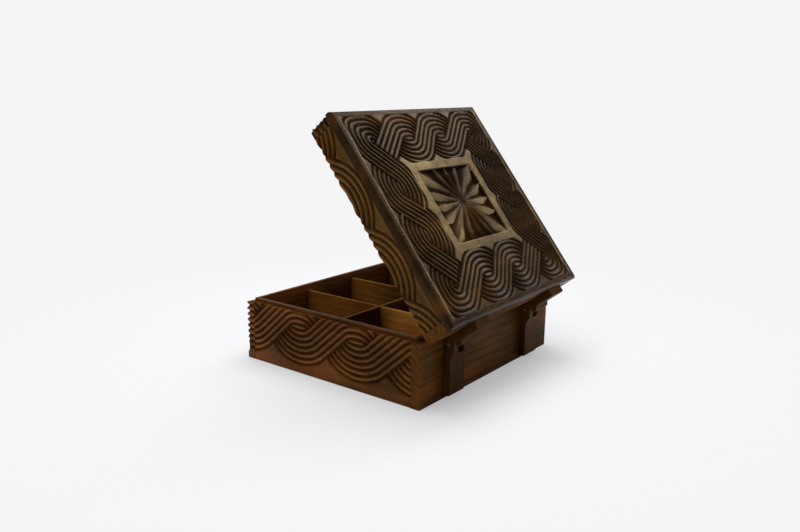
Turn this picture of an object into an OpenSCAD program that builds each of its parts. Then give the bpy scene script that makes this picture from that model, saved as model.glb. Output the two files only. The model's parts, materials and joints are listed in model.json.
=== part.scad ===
// Carved hardwood jewelry box on its flat base, with a hinged lid and six compartments.
// Origin: centre of the base's underside. +Z up, -Y the front, +Y the back with the hinges.

/* [Box] */
// Width of the box, left to right
box_w = 264; // [200:1:340]
// Depth of the box, front to back
box_d = 250; // [190:1:330]
// Height of the base, from the table to the shoulder that the lid closes on
base_h = 69; // [56:0.5:100]
// Height of the lid, from its rim to its top face
lid_h = 36; // [30:0.5:56]
// Angle at which the lid stands open, in degrees
lid_open = 52; // [0:1:90]

/* [Boards] */
// Thickness of the upright boards of the base and the lid
board_t = 11; // [10:0.5:15]
// Thickness of the lid's top board
top_t = 8; // [6:0.5:12]
// Chamfer round the edge of the lid's top board
top_chamfer = 2.5; // [1:0.1:4]
// Thickness of the bottom board
bottom_t = 5; // [4:0.5:8]
// Depth by which the bottom board is let into the upright boards
bottom_let = 5.5; // [3:0.5:8]

/* [Rim] */
// Height of the lip that rises inside the lid
lip_h = 3.6; // [2:0.1:5]
// Thickness of the lip
lip_t = 4; // [3:0.1:5]
// Gap round the lip, inside the closed lid
lip_gap = 0.5; // [0.4:0.1:0.9]
// Gap between the shoulder and the rim of the closed lid
rim_gap = 0.2; // [0.1:0.1:0.5]

/* [Dividers] */
// Thickness of the dividers
divider_t = 3; // [2:0.1:5]
// Drop from the top of the lip to the top edges of the dividers
divider_drop = 7.3; // [3:0.1:20]
// Gap at each side of a divider in a halved joint
divider_fit = 0.1; // [0.05:0.05:0.3]

/* [Hinges] */
// Distance from the middle of the box to the middle of each hinge
hinge_x = 78.5; // [55:0.5:82]
// Width of a hinge
hinge_w = 27; // [24:0.5:34]
// Height from the hinge pin's axis up to the shoulder
hinge_drop = 9; // [8.5:0.1:11]
// Thickness of the hinge leaves where they are pegged to the boards
leaf_t = 8.8; // [7.5:0.1:10]
// Thickness of the hinge leaves at the knuckle
knuckle_t = 13; // [12:0.1:14]
// Height over which a leaf swells from its own thickness to the knuckle's
swell_h = 11; // [9:0.5:13]
// Width of the lid leaf's middle knuckle
tongue_w = 9; // [7:0.1:10]
// Gap at each side of the middle knuckle
tongue_gap = 0.3; // [0.2:0.05:0.5]
// Gap between the middle knuckle and what it turns beside
knuckle_gap = 0.35; // [0.3:0.05:0.6]
// Gap between the lid leaf's lower end and the base leaf's knuckles
leaf_gap = 0.6; // [0.5:0.05:1]
// Bevel on the lid leaf's lower outer edge, which swings past the base leaf
leaf_nose = 3.5; // [3:0.1:4.5]
// Gap under the middle knuckle, open at the back
slot_below = 3.5; // [1:0.1:5]
// Height of the base leaf's lower end above the table
leaf_foot = 4.5; // [2:0.5:10]
// Distance from the lid's top face to the upper end of the lid leaf
leaf_head = 3; // [2:0.5:6]
// Diameter of the hinge pin
pin_d = 4; // [3:0.1:5]
// Radial clearance of the pin in the turning knuckle
pin_run = 0.06; // [0.03:0.01:0.09]
// Radial clearance of the pin in the fixed knuckles
pin_seat = 0.02; // [0.01:0.01:0.03]

/* [Pegs and dowels] */
// Diameter of the pegs that hold the hinge leaves
peg_d = 4; // [3:0.1:5]
// Distance between the two pegs of a leaf, across the leaf
peg_pitch = 14; // [10:0.5:16]
// Depth to which the pegs enter the boards
peg_depth = 8; // [5:0.5:9]
// Diameter of the dowels in the corners
dowel_d = 5; // [4:0.1:6]
// Distance of the base's dowels from the table and from the shoulder
dowel_inset = 17; // [14:0.5:22]
// Depth of a corner dowel in the front or back board
dowel_depth = 7; // [5:0.5:9]
// Depth of a corner dowel in the end of a side board
dowel_reach = 12; // [8:0.5:20]
// Diameter of the pins that hold the bottom board
nail_d = 2; // [1.5:0.1:2.5]
// Depth of the bottom pins above the bottom board
nail_depth = 12; // [8:0.5:18]
// Distance from a corner of the inside to the nearest bottom pin
nail_corner = 30; // [20:1:60]
// Radial clearance of pegs, dowels and pins in their holes
peg_fit = 0.02; // [0.01:0.01:0.03]

/* [Hidden] */
$fn = 48;

half_w = box_w / 2;
half_d = box_d / 2;
shoulder_t = board_t - lip_t;               // what the lid's rim rests on
lip_top = base_h + lip_h;
floor_z = bottom_t;
inner_w = box_w - 2 * board_t;
inner_d = box_d - 2 * board_t;

rim_z = base_h + rim_gap;                   // lid heights are those of the closed lid
lid_top_z = base_h + lid_h;
rail_top_z = lid_top_z - top_t;
rebate_t = lip_t + lip_gap;
rebate_z = lip_top + lip_gap;

divider_top = lip_top - divider_drop;
divider_mid = (floor_z + divider_top) / 2;  // the halved joints meet at half height
column_w = (inner_w - 2 * divider_t) / 3;   // three columns of equal width
divider_x = (column_w + divider_t) / 2;

knuckle_r = knuckle_t / 2;
axis_y = half_d + knuckle_r;
axis_z = base_h - hinge_drop;
tongue_r = knuckle_r - knuckle_gap;
swell = knuckle_t - leaf_t;                 // how far a knuckle stands out past its leaf
swell_steps = 10;
slot_z = axis_z - tongue_r - slot_below;
leaf_low_z = axis_z + knuckle_r + leaf_gap;
leaf_top_z = lid_top_z - leaf_head;
leaf_knuckle_z = leaf_low_z + knuckle_r;    // the lid leaf is as thick as its knuckle up to here
leaf_thin_z = leaf_low_z + swell_h;         // and has its own thickness from here up
leaf_ease = 1;                              // bevel on the leaves' free ends

base_peg_z = (leaf_foot + slot_z) / 2;
lid_peg_z = (leaf_thin_z + leaf_top_z) / 2;
base_dowel_z = [dowel_inset, base_h - dowel_inset];
lid_dowel_z = (rebate_z + rail_top_z) / 2;
nail_inset = board_t - bottom_let / 2;      // from the outer faces to the rows of bottom pins
nail_rows = 3;

wood = [0.40, 0.25, 0.14];
wood_dark = [0.30, 0.19, 0.11];
wood_light = [0.55, 0.37, 0.20];
steel = [0.60, 0.58, 0.55];
over = 1;                                   // how far a cut runs past the wood it opens

function ease(u) = (1 - cos(180 * u)) / 2;

// An upright plank given by its lowest and highest corners.
module block(low, high) {
    translate(low) cube(high - low);
}

// Carries what is drawn for the closed lid to where the open lid holds it.
module on_lid() {
    translate([0, axis_y, axis_z]) rotate([-lid_open, 0, 0])
        translate([0, -axis_y, -axis_z]) children();
}

// A profile drawn in the plane of depth and height, carried along the width.
module along_x(x, width) {
    translate([x - width / 2, 0, 0]) rotate([90, 0, 90]) linear_extrude(width) children();
}

// A round rod or hole along the depth, from its front end towards the back.
module rod_y(x, y, z, length, r) {
    translate([x, y, z]) rotate([-90, 0, 0]) cylinder(h = length, r = r);
}

// A round rod or hole along the width, about the point given.
module rod_x(x, y, z, length, r) {
    translate([x - length / 2, y, z]) rotate([0, 90, 0]) cylinder(h = length, r = r);
}

// ---------- dowels, pins and pegs, each used for the rod and for its hole ----------

module corner_dowels(heights, play, more) {
    length = dowel_depth + dowel_reach + 2 * more;
    for (side = [-1, 1], z = heights) {
        x = side * (half_w - board_t / 2);
        rod_y(x, -half_d + board_t - dowel_depth - more, z, length, dowel_d / 2 + play);
        rod_y(x, half_d - board_t - dowel_reach - more, z, length, dowel_d / 2 + play);
    }
}

module base_dowel_rods(play = 0, more = 0) {
    corner_dowels(base_dowel_z, play, more);
}

module lid_dowel_rods(play = 0, more = 0) {
    corner_dowels([lid_dowel_z], play, more);
}

module bottom_pin_rods(play = 0, more = 0) {
    low = more > 0 ? -over : 0;
    length = bottom_t + nail_depth + more - low;
    for (side = [-1, 1], row = [-1 : 2 / (nail_rows - 1) : 1]) {
        translate([side * (half_w - nail_inset), row * (inner_d / 2 - nail_corner), low])
            cylinder(h = length, r = nail_d / 2 + play);
        translate([row * (inner_w / 2 - nail_corner), side * (half_d - nail_inset), low])
            cylinder(h = length, r = nail_d / 2 + play);
    }
}

module leaf_peg_rods(z, play, more) {
    out = more > 0 ? over : 0;
    for (hinge = [-1, 1], across = [-1, 1])
        rod_y(hinge * hinge_x + across * peg_pitch / 2, half_d - peg_depth - more, z,
              peg_depth + more + leaf_t + out, peg_d / 2 + play);
}

module base_peg_rods(play = 0, more = 0) {
    leaf_peg_rods(base_peg_z, play, more);
}

module lid_peg_rods(play = 0, more = 0) {
    leaf_peg_rods(lid_peg_z, play, more);
}

// ---------- base ----------

// Front board's shape, standing at the front edge; the back board is the same, turned round.
module base_end_board() {
    difference() {
        union() {
            block([-half_w, -half_d, 0], [half_w, -half_d + board_t, base_h]);
            block([-half_w + shoulder_t, -half_d + shoulder_t, base_h - over],
                  [half_w - shoulder_t, -half_d + board_t, lip_top]);
        }
        block([-inner_w / 2 - bottom_let, -half_d + board_t - bottom_let, -over],
              [inner_w / 2 + bottom_let, -half_d + board_t + over, bottom_t]);
    }
}

// Right board's shape, between the front and back boards; the left board is the same, turned round.
module base_side_board() {
    difference() {
        union() {
            block([inner_w / 2, -inner_d / 2, 0], [half_w, inner_d / 2, base_h]);
            block([inner_w / 2, -inner_d / 2, base_h - over], [half_w - shoulder_t, inner_d / 2, lip_top]);
        }
        block([inner_w / 2 - over, -inner_d / 2 - over, -over],
              [inner_w / 2 + bottom_let, inner_d / 2 + over, bottom_t]);
    }
}

module base_front() {
    color(wood) difference() {
        base_end_board();
        base_dowel_rods(peg_fit, over);
        bottom_pin_rods(peg_fit, over);
    }
}

module base_back() {
    color(wood) difference() {
        rotate([0, 0, 180]) base_end_board();
        base_dowel_rods(peg_fit, over);
        bottom_pin_rods(peg_fit, over);
        base_peg_rods(peg_fit, over);
    }
}

module base_right() {
    color(wood) difference() {
        base_side_board();
        base_dowel_rods(peg_fit, over);
        bottom_pin_rods(peg_fit, over);
    }
}

module base_left() {
    color(wood) difference() {
        rotate([0, 0, 180]) base_side_board();
        base_dowel_rods(peg_fit, over);
        bottom_pin_rods(peg_fit, over);
    }
}

module base_bottom() {
    color(wood_light) difference() {
        block([-inner_w / 2 - bottom_let, -inner_d / 2 - bottom_let, 0],
              [inner_w / 2 + bottom_let, inner_d / 2 + bottom_let, bottom_t]);
        bottom_pin_rods(peg_fit, over);
    }
}

// ---------- dividers ----------

// Front-to-back divider, notched from above for the cross divider.
module long_divider(x) {
    color(wood_light) difference() {
        block([x - divider_t / 2, -inner_d / 2, floor_z], [x + divider_t / 2, inner_d / 2, divider_top]);
        block([x - divider_t / 2 - over, -divider_t / 2 - divider_fit, divider_mid],
              [x + divider_t / 2 + over, divider_t / 2 + divider_fit, divider_top + over]);
    }
}

module divider_left() {
    long_divider(-divider_x);
}

module divider_right() {
    long_divider(divider_x);
}

// Left-to-right divider, notched from below over the other two.
module divider_cross() {
    color(wood_light) difference() {
        block([-inner_w / 2, -divider_t / 2, floor_z], [inner_w / 2, divider_t / 2, divider_top]);
        for (side = [-1, 1])
            block([side * divider_x - divider_t / 2 - divider_fit, -divider_t / 2 - over, floor_z - over],
                  [side * divider_x + divider_t / 2 + divider_fit, divider_t / 2 + over, divider_mid]);
    }
}

// ---------- lid, drawn closed and carried open ----------

// Front rail's shape with the rebate that clears the lip; the back rail is the same, turned round.
module lid_end_rail() {
    difference() {
        block([-half_w, -half_d, rim_z], [half_w, -half_d + board_t, rail_top_z]);
        block([-inner_w / 2 - rebate_t, -half_d + board_t - rebate_t, rim_z - over],
              [inner_w / 2 + rebate_t, -half_d + board_t + over, rebate_z]);
    }
}

// Right rail's shape; the left rail is the same, turned round.
module lid_side_rail() {
    difference() {
        block([inner_w / 2, -inner_d / 2, rim_z], [half_w, inner_d / 2, rail_top_z]);
        block([inner_w / 2 - over, -inner_d / 2 - over, rim_z - over],
              [inner_w / 2 + rebate_t, inner_d / 2 + over, rebate_z]);
    }
}

module lid_front() {
    color(wood) on_lid() difference() {
        lid_end_rail();
        lid_dowel_rods(peg_fit, over);
    }
}

module lid_back() {
    color(wood) on_lid() difference() {
        rotate([0, 0, 180]) lid_end_rail();
        lid_dowel_rods(peg_fit, over);
        lid_peg_rods(peg_fit, over);
    }
}

module lid_right() {
    color(wood) on_lid() difference() {
        lid_side_rail();
        lid_dowel_rods(peg_fit, over);
    }
}

module lid_left() {
    color(wood) on_lid() difference() {
        rotate([0, 0, 180]) lid_side_rail();
        lid_dowel_rods(peg_fit, over);
    }
}

// Outline of the top board's edge across a span, chamfered at its two upper corners.
module top_section(half_span) {
    polygon([
        [-half_span, rail_top_z], [half_span, rail_top_z],
        [half_span, lid_top_z - top_chamfer], [half_span - top_chamfer, lid_top_z],
        [-half_span + top_chamfer, lid_top_z], [-half_span, lid_top_z - top_chamfer]]);
}

module lid_top() {
    color(wood) on_lid() intersection() {
        rotate([90, 0, 0]) linear_extrude(box_d + 2 * over, center = true) top_section(half_w);
        along_x(0, box_w + 2 * over) top_section(half_d);
    }
}

// ---------- hinges ----------

// Side view of the base leaf: a plank against the back board that swells to its round knuckle.
module base_leaf_section() {
    union() {
        polygon(concat(
            [[half_d, axis_z], [half_d, leaf_foot], [half_d + leaf_t - leaf_ease, leaf_foot],
             [half_d + leaf_t, leaf_foot + leaf_ease]],
            [for (i = [0 : swell_steps])
                [half_d + leaf_t + swell * ease(i / swell_steps),
                 axis_z - knuckle_r - swell_h * (1 - i / swell_steps)]],
            [[half_d + knuckle_t, axis_z]]));
        translate([axis_y, axis_z]) circle(r = knuckle_r);
    }
}

// Side view of the lid leaf above its knuckle, bevelled where it swings past the base leaf.
module lid_leaf_section() {
    polygon(concat(
        [[half_d, leaf_top_z], [half_d, leaf_low_z], [half_d + knuckle_t - leaf_nose, leaf_low_z],
         [half_d + knuckle_t, leaf_low_z + leaf_nose]],
        [for (i = [0 : swell_steps])
            [half_d + knuckle_t - swell * ease(i / swell_steps),
             leaf_knuckle_z + (leaf_thin_z - leaf_knuckle_z) * i / swell_steps]],
        [[half_d + leaf_t, leaf_top_z - leaf_ease], [half_d + leaf_t - leaf_ease, leaf_top_z]]));
}

module base_leaf(x) {
    color(wood_dark) difference() {
        along_x(x, hinge_w) base_leaf_section();
        block([x - tongue_w / 2 - tongue_gap, half_d - over, slot_z],
              [x + tongue_w / 2 + tongue_gap, half_d + knuckle_t + over, axis_z + knuckle_r + over]);
        rod_x(x, axis_y, axis_z, hinge_w + 2 * over, pin_d / 2 + pin_seat);
        base_peg_rods(peg_fit, over);
    }
}

module lid_leaf(x) {
    color(wood_dark) on_lid() difference() {
        union() {
            along_x(x, hinge_w) lid_leaf_section();
            rod_x(x, axis_y, axis_z, tongue_w, tongue_r);
            block([x - tongue_w / 2, axis_y - tongue_r, axis_z],
                  [x + tongue_w / 2, axis_y + tongue_r, leaf_low_z + leaf_nose]);
        }
        rod_x(x, axis_y, axis_z, hinge_w + 2 * over, pin_d / 2 + pin_run);
        lid_peg_rods(peg_fit, over);
    }
}

module hinge_pin(x) {
    color(steel) rod_x(x, axis_y, axis_z, hinge_w, pin_d / 2);
}

module base_leaf_left() {
    base_leaf(-hinge_x);
}

module base_leaf_right() {
    base_leaf(hinge_x);
}

module lid_leaf_left() {
    lid_leaf(-hinge_x);
}

module lid_leaf_right() {
    lid_leaf(hinge_x);
}

module hinge_pin_left() {
    hinge_pin(-hinge_x);
}

module hinge_pin_right() {
    hinge_pin(hinge_x);
}

// ---------- fasteners ----------

module base_leaf_pegs() {
    color(wood_dark) base_peg_rods();
}

module lid_leaf_pegs() {
    color(wood_dark) on_lid() lid_peg_rods();
}

module base_corner_dowels() {
    color(wood_light) base_dowel_rods();
}

module lid_corner_dowels() {
    color(wood_light) on_lid() lid_dowel_rods();
}

module bottom_pins() {
    color(steel) bottom_pin_rods();
}

base_front();
base_back();
base_left();
base_right();
base_bottom();
divider_left();
divider_right();
divider_cross();
lid_front();
lid_back();
lid_left();
lid_right();
lid_top();
base_leaf_left();
base_leaf_right();
lid_leaf_left();
lid_leaf_right();
hinge_pin_left();
hinge_pin_right();
base_leaf_pegs();
lid_leaf_pegs();
base_corner_dowels();
lid_corner_dowels();
bottom_pins();
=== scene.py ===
"""Carved hardwood jewelry box, standing open: plaited carving, a leaf rosette and wooden strap hinges."""
import json
import math

import bmesh
import bpy
import numpy as np
from mathutils import Matrix


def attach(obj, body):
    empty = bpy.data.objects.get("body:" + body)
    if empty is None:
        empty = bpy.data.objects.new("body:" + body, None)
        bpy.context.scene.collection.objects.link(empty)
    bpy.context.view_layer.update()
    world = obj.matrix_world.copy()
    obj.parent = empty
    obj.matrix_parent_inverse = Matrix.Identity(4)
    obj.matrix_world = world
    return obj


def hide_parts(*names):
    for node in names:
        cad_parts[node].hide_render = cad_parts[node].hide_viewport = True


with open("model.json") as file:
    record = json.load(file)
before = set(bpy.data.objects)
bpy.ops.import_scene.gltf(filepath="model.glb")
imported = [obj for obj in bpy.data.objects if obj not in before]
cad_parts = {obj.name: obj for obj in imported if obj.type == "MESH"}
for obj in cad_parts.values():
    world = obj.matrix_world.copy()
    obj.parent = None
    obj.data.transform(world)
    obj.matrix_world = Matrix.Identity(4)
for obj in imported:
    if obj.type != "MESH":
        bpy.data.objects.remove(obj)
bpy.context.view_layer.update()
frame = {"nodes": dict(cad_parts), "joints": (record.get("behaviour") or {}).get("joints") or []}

# ---------- sizes, in millimetres ----------

MM = 0.001                                   # metres in a millimetre
hinge = frame["joints"][0]
HINGE_Y = hinge["pos_m"][1] / MM
HINGE_Z = hinge["pos_m"][2] / MM
OPEN = math.radians(-hinge["range_deg"][0])  # how far the lid stands open at rest


def turn_lid(points, angle):
    """Turn points about the hinge pin: depth and height rotate by the angle, positive as the lid opens."""
    c, s = math.cos(angle), math.sin(angle)
    y, z = points[..., 1] - HINGE_Y, points[..., 2] - HINGE_Z
    return np.stack([points[..., 0], y * c + z * s + HINGE_Y, z * c - y * s + HINGE_Z], axis=-1)


def closed_box(node):
    """Lowest and highest corner of a node with the lid closed, from the vertices of its frame mesh."""
    mesh = frame["nodes"][node].data
    flat = np.empty(3 * len(mesh.vertices))
    mesh.vertices.foreach_get("co", flat)
    points = flat.reshape(-1, 3) / MM
    if node.startswith("lid"):
        points = turn_lid(points, -OPEN)
    return points.min(axis=0), points.max(axis=0)


front_low, front_high = closed_box("base_front")
HALF_W, HALF_D = front_high[0], -front_low[1]
BOARD_T = front_high[1] - front_low[1]
LIP_TOP = front_high[2]
FLOOR_Z = closed_box("base_bottom")[1][2]
RIM_Z, RAIL_TOP = closed_box("lid_front")[0][2], closed_box("lid_front")[1][2]
LID_TOP = closed_box("lid_top")[1][2]
INNER_D = HALF_D - BOARD_T

LIP_H = 3.6                                  # the lip stands this far above the shoulder
LIP_T = 4.0
SHOULDER_T = BOARD_T - LIP_T
BASE_H = LIP_TOP - LIP_H
BOTTOM_LET = 5.5                             # how far the bottom board is let into the walls
REBATE_T = 4.5                               # rebate in the lid's rim that clears the lip
LIP_GAP = 0.5                                # room over the lip when the lid is closed
REBATE_H = LIP_TOP + LIP_GAP - RIM_Z
TOP_CHAMFER = 2.5

WALL_STEP = 0.66                             # spacing of the points on a carved wall
LID_STEP = 0.82                              # spacing of the points on the lid's top
MERGE = 1e-6                                 # points closer than this, in metres, are one
CARVED_CORNER, PLAIN_CORNER = 38, 30         # degrees from which an edge is shaded sharp
BEVEL_CORNER = 40                            # degrees from which an edge is rounded
EDGE_R = 0.8                                 # softening of the long edges
JOINT_R = 0.35                               # softening of the ends where boards meet
CORNER_TURN = 9.0                            # stretch over which the front's carving gives way at a corner
FULLY_OUT = 1 - 1e-9                         # shares above this are the front's face or its ends

# ---------- carving ----------

WALL_ROUND, LID_ROUND = 1.5, 1.35            # 1 gives sharp ridges, higher values rounder ones
FIRST_GROOVE = 0.5                           # pitches from an eye to the strand that passes it
SINK_LENGTH = 1.4                            # pitches over which ridges dive under a strand
SINK = 0.5                                   # how deep they dive, as a share of the carving's depth
STEEPEST = 0.95                              # sine of the strands' steepest lean
FIRST_LEAN = 0.7                             # sine of the lean from which the true one is worked out
LEAN_STEPS, RING_STEPS = 20, 8               # rounds that settle a strand's lean and a ring's size
LEAST_RING = 0.01                            # the smallest ring that is worked out
END_EASE = 0.3                               # pitches before a strand's end at which the diving sets in
CROWN = 0.1                                  # how far a strand's edges lie lower, as a share of the depth
FLAT_FROM, FLAT_EASE = 0.15, 0.3             # pitches from the plait to flat wood, and over which it eases

WALL_PITCH = 6.6
WALL_DEPTH = 2.5
WALL_EYE = 9.0                               # half length of the walls' level eyes
WALL_EYE_Z = 53.5                            # the plait runs on from the base to the closed lid
WALL_REACH = 6.5                             # pitches out to the edge of the strands
WALL_LEGS = 3                                # stretches between eyes along a wall
RING_RUB_AND_SHEEN, STRAND_RUB_AND_SHEEN = 0.75, 0.4             # how pale the crests are, partly wear and partly painted sheen
RAIL_SHARE = 0.45                            # and how much of that is on the lid's rails
TOOTH_PITCH = 7.2                            # ridges on the front board's ends
TEETH = 6                                    # of them above the eyes, and below
FADE = 3.0                                   # height over which teeth and pale crests fade in
TOOTH_OVER = 2.0                             # how far the fading starts beyond the last tooth

LID_PITCH = 6.0
LID_DEPTH = 1.9
LID_EYE = 6.0
LID_EYE_X = HALF_W - 40.5                    # the corner eyes of the lid's plait
LID_EYE_Y = HALF_D - 39.0
LID_REACH = 5.5
LID_LEGS = 3
PLAIT_HALF = 31.3                            # from the eyes to the edges of the lid's plait
CORNER_POWER = 3.5                           # how square the ridges turn at the lid's corners
LID_RUB_AND_SHEEN, LEAF_HIGHLIGHT = 0.27, 1.7                # paleness of the crests, partly wear and partly painted highlight, and the leaves' painted highlight
OUTER_SHARE, INNER_SHARE = 0.4, 1.8          # crests by the panel are painted paler than those by the border
LEFT_SHARE = 0.15                            # share of the crests' paleness that the lid's left side gets
BACK_SHEEN_SHARE = 0.50                            # share of the flat wood's painted sheen that the back half gets
INNER_NOTCH_SHEEN, OUTER_NOTCH_SHEEN = 0.9, 0.12         # how pale the flat wood beside the strands is painted, a painted sheen
LINE_W, LINE_PALENESS = 2.4, 0.6                  # a pale line painted between the lid's dark border and its plait, on its X sides
LINE_EASE, FLAT_EDGE = 0.8, 0.5              # softening of that line and of the plait's outer edges
PLAIN_GROOVE = 0.33                          # the groove's value where nothing is carved
UNCUT, NOT_PALE = 0.001, 0.01                # depths and paleness below these count as none

PANEL_X, PANEL_Y = 50.0, 45.5                # half sizes of the rosette's panel
PANEL_DEPTH = 3.8
PANEL_WALL = 1.2                             # slope of the panel's edge
LEAVES = 16
LEAF_REACH = 0.985                           # share of the way to the panel's edge that a leaf takes
LEAF_WIDEST = 0.74                           # share of its length at which a leaf is widest
LEAF_BROAD, CORNER_BROAD = 0.160, 0.185      # half widths of a leaf, and of a corner's, in scaled coordinates
CORNER_LENGTH = 1.2                          # leaves longer than this go to a corner
TIP_POWER, FACET_POWER = 2.1, 1.05           # how roundly a tip closes and a facet falls
RIB_LOW = 0.15                               # the rib lies this far under the surface
HEART_DIP, HEART = 2.4, 0.30                 # it dips by this much towards the centre, over this share
TIP_DIP, TIP = 1.2, 0.22                     # and by this much towards the tip
FACET_FALL, FACET_LEAST = 3.9, 0.5           # fall of the facets at the widest place, and at least
FULL_WIDTH = 0.75                            # share of the greatest width from which the fall is full
LEAF_SPREAD = 1.4                            # widths to which a facet may run on under its neighbours
HIGHLIGHT_FROM, HIGHLIGHT_OVER = 0.15, 0.6               # share of the length over which the painted highlight sets in
LEAF_SHINE = 0.8                             # how much a facet's painted highlight counts as a crest


def smooth(t):
    """Ease from 0 to 1: the cubic 3t^2 - 2t^3 of t held between 0 and 1."""
    t = np.clip(t, 0, 1)
    return t * t * (3 - 2 * t)


def ridges(r, pitch, depth, roundness):
    """Rounded ridges at whole pitches with sharp grooves halfway: a power of the distance from the ridge."""
    across = 2 * np.abs(r / pitch - np.round(r / pitch))
    return -depth * across ** roundness


def ring_distance(u, v, eyes, reach):
    """Which ring of the nearest eye a point is on. Rings are ellipses, longer than high by the eye's half
    length at either end, found by Newton's method. A corner's are circles, squarer further out in its outer
    quarter."""
    nearest = np.full(u.shape, np.inf)
    for (eye_u, eye_v), (way_u, way_v), long, outward in eyes:
        a, b = u - eye_u, v - eye_v
        along, beside = np.abs(a * way_u + b * way_v), np.abs(a * way_v - b * way_u)
        r = np.maximum(np.hypot(np.maximum(along - long, 0), beside), LEAST_RING)
        for _ in range(RING_STEPS if long else 0):
            over = (along / (r + long)) ** 2 + (beside / r) ** 2 - 1
            slope = 2 * along ** 2 / (r + long) ** 3 + 2 * beside ** 2 / r ** 3
            r = np.maximum(r + over / slope, LEAST_RING)
        if outward:
            out_u, out_v = np.maximum(outward[0] * a, 0), np.maximum(outward[1] * b, 0)
            power = 2 + (CORNER_POWER - 2) * smooth(r / reach)
            square = (out_u ** power + out_v ** power) ** (1 / power)
            r = np.where((out_u > 0) & (out_v > 0), square, r)
        nearest = np.minimum(nearest, r)
    return nearest


def tangent_at(r, long, sine):
    """How far from an eye's middle a line of a given lean passes when it touches ring r."""
    return np.sqrt(((r + long) * sine) ** 2 + r ** 2 * (1 - sine ** 2))


def touched(distance, long, sine):
    """The ring that a line of a given lean touches at a distance from the eye's middle."""
    square = distance ** 2 - (long * sine) ** 2 * (1 - sine ** 2)
    least = long * sine * math.sqrt(1 - sine ** 2)
    root = np.where(distance > least, np.sqrt(np.maximum(square, 0)), distance - least)
    return root - long * sine ** 2


def plait(u, v, eyes, legs, pitch, reach, depth, roundness):
    """Height of a plait, 0 at the wood's surface, with a mask of the wood left flat and one of the strands.

    Each eye has rings at whole pitches. Each leg carries a strand of straight ridges that leave the rings of
    one eye on its inner side and join those of the next on its outer side, over all that they cross. The
    other rings dive towards the edge of a strand that covers them.
    """
    inner, outer = FIRST_GROOVE * pitch, reach * pitch
    both = inner + outer
    r = ring_distance(u, v, eyes, outer)
    sink = np.zeros(u.shape)
    beside = np.full(u.shape, np.inf)
    strand = np.full(u.shape, np.nan)
    for (start, end), (long_1, long_2) in legs:
        way = np.subtract(end, start)
        gap = np.hypot(*way)
        way = way / gap
        sine = FIRST_LEAN
        for _ in range(LEAN_STEPS):
            sums = [tangent_at(q, long_1, sine) + tangent_at(both - q, long_2, sine) for q in (inner, outer)]
            sine = min(STEEPEST, sum(sums) / 2 / gap)
        cosine = math.sqrt(1 - sine ** 2)
        side = np.array([way[1], -way[0]])
        over, run = sine * way + cosine * side, cosine * way - sine * side
        across = (u - start[0]) * over[0] + (v - start[1]) * over[1]
        along = (u - start[0]) * run[0] + (v - start[1]) * run[1]
        length = gap * cosine
        share = smooth(along / length)
        leaving = touched(across, long_1, sine)
        joining = both - touched(gap * sine - across, long_2, sine)
        ring = (1 - share) * leaving + share * joining
        near = np.clip(ring, inner, outer)
        far = both - near
        begin = sine * cosine * long_1 * (2 * near + long_1) / tangent_at(near, long_1, sine)
        finish = sine * cosine * long_2 * (2 * far + long_2) / tangent_at(far, long_2, sine)
        before, after = along - begin, length - finish - along
        within = (before >= 0) & (after >= 0)
        off = np.maximum(ring - outer, inner - ring)
        ends = smooth(before / pitch + END_EASE) * smooth(after / pitch + END_EASE)
        sink = np.maximum(sink, ends * np.exp(-np.maximum(off, 0) / (SINK_LENGTH * pitch)))
        beside = np.where(within, np.minimum(beside, np.abs(off)), beside)
        strand = np.where(within & (off <= 0), ring, strand)
    free = np.isnan(strand)
    ringed = ridges(np.minimum(r, outer + pitch / 2), pitch, depth, roundness)
    ringed -= SINK * depth * sink * (r < outer)
    ground = ridges(np.minimum(pitch / 2 + beside, pitch), pitch, depth, roundness)
    height = np.where(r < outer, ringed, np.minimum(ringed, ground))
    crown = ((strand - both / 2) / ((outer - inner) / 2)) ** 2
    height = np.where(free, height, ridges(strand, pitch, depth, roundness) - CROWN * depth * crown)
    flat = free * smooth((np.minimum(r - outer, beside) / pitch - FLAT_FROM) / FLAT_EASE)
    return height, flat, 1.0 - free


def wall_carving(u, z, half):
    """The walls' plait, with level eyes at equal distances from one corner of the box to the next."""
    places = np.linspace(-half, half, WALL_LEGS + 1)
    eyes = [((p, WALL_EYE_Z), (1, 0), WALL_EYE, None) for p in places]
    legs = [(((p, WALL_EYE_Z), (q, WALL_EYE_Z)), (WALL_EYE, WALL_EYE))
            for p, q in zip(places, places[1:])]
    return plait(u, z, eyes, legs, WALL_PITCH, WALL_REACH, WALL_DEPTH, WALL_ROUND)


def wall_rub_and_sheen(z, flat, strand):
    """How pale the walls' crests are painted, partly wear and partly painted sheen: the rings paler than the
    strands, and the flat wood beside the plait not at all.
    """
    above = smooth((z - WALL_EYE_Z + WALL_REACH * WALL_PITCH) / FADE)
    above = above * np.where(z > LIP_TOP, RAIL_SHARE, 1)
    return above * (1 - flat) * (RING_RUB_AND_SHEEN + (STRAND_RUB_AND_SHEEN - RING_RUB_AND_SHEEN) * strand)


def tooth_carving(z):
    """Level ridges on the ends of the front board, left off below the plait's lower edge."""
    low = WALL_EYE_Z - TEETH * TOOTH_PITCH
    high = WALL_EYE_Z + TEETH * TOOTH_PITCH
    inside = smooth((z - low + TOOTH_OVER) / FADE) * smooth((high + TOOTH_OVER - z) / FADE)
    return ridges(z - WALL_EYE_Z, TOOTH_PITCH, WALL_DEPTH, WALL_ROUND) * inside


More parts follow.
